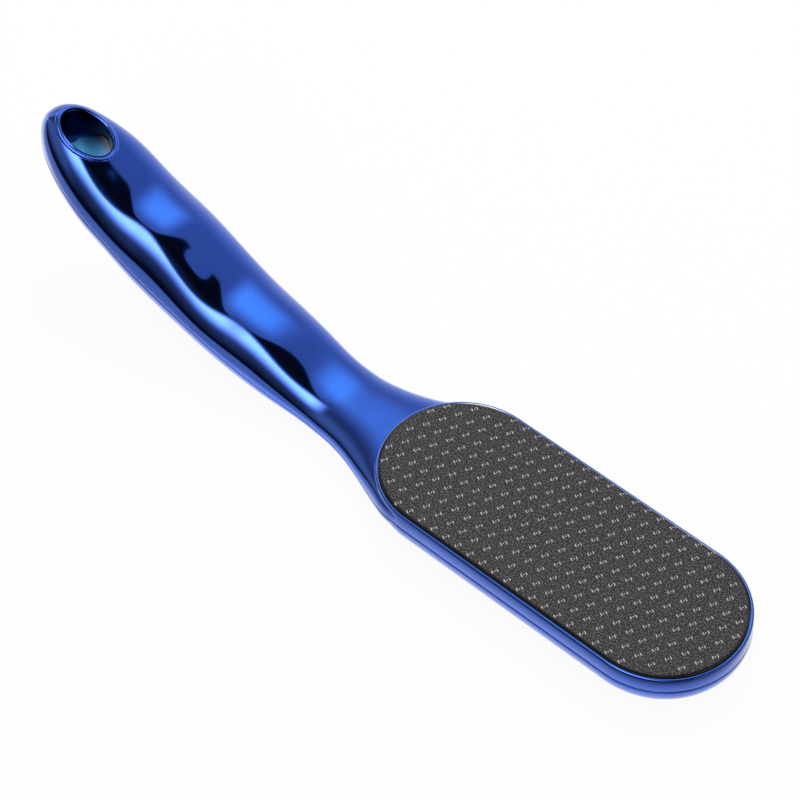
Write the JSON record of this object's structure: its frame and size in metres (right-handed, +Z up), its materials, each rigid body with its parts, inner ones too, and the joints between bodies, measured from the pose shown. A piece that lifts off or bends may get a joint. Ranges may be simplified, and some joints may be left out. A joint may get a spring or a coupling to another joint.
{
  "type": "foot file",
  "caption": "Paddle-shaped foot file with an etched black steel plate, a glossy blue two-part shell, and a waved rising handle with an oval hang hole.",
  "frame": {"origin": "on the head's flat underside, under the centre of the plate", "axes": "+X along the head from the handle to the tip, +Z up, out of the plate's face"},
  "size_m": [0.266, 0.0508, 0.0517],
  "materials": {
    "blue_plating": "mirror-bright blue plating",
    "black_steel": "etched, blackened",
    "foam_tape": "matte",
    "screw_steel": "zinc plated"
  },
  "bodies": {
    "root": {"upper_shell": "blue_plating", "lower_shell": "blue_plating", "file_plate": "black_steel", "plate_tape": "foam_tape", "shell_screws": "screw_steel"}
  },
  "joints": []
}
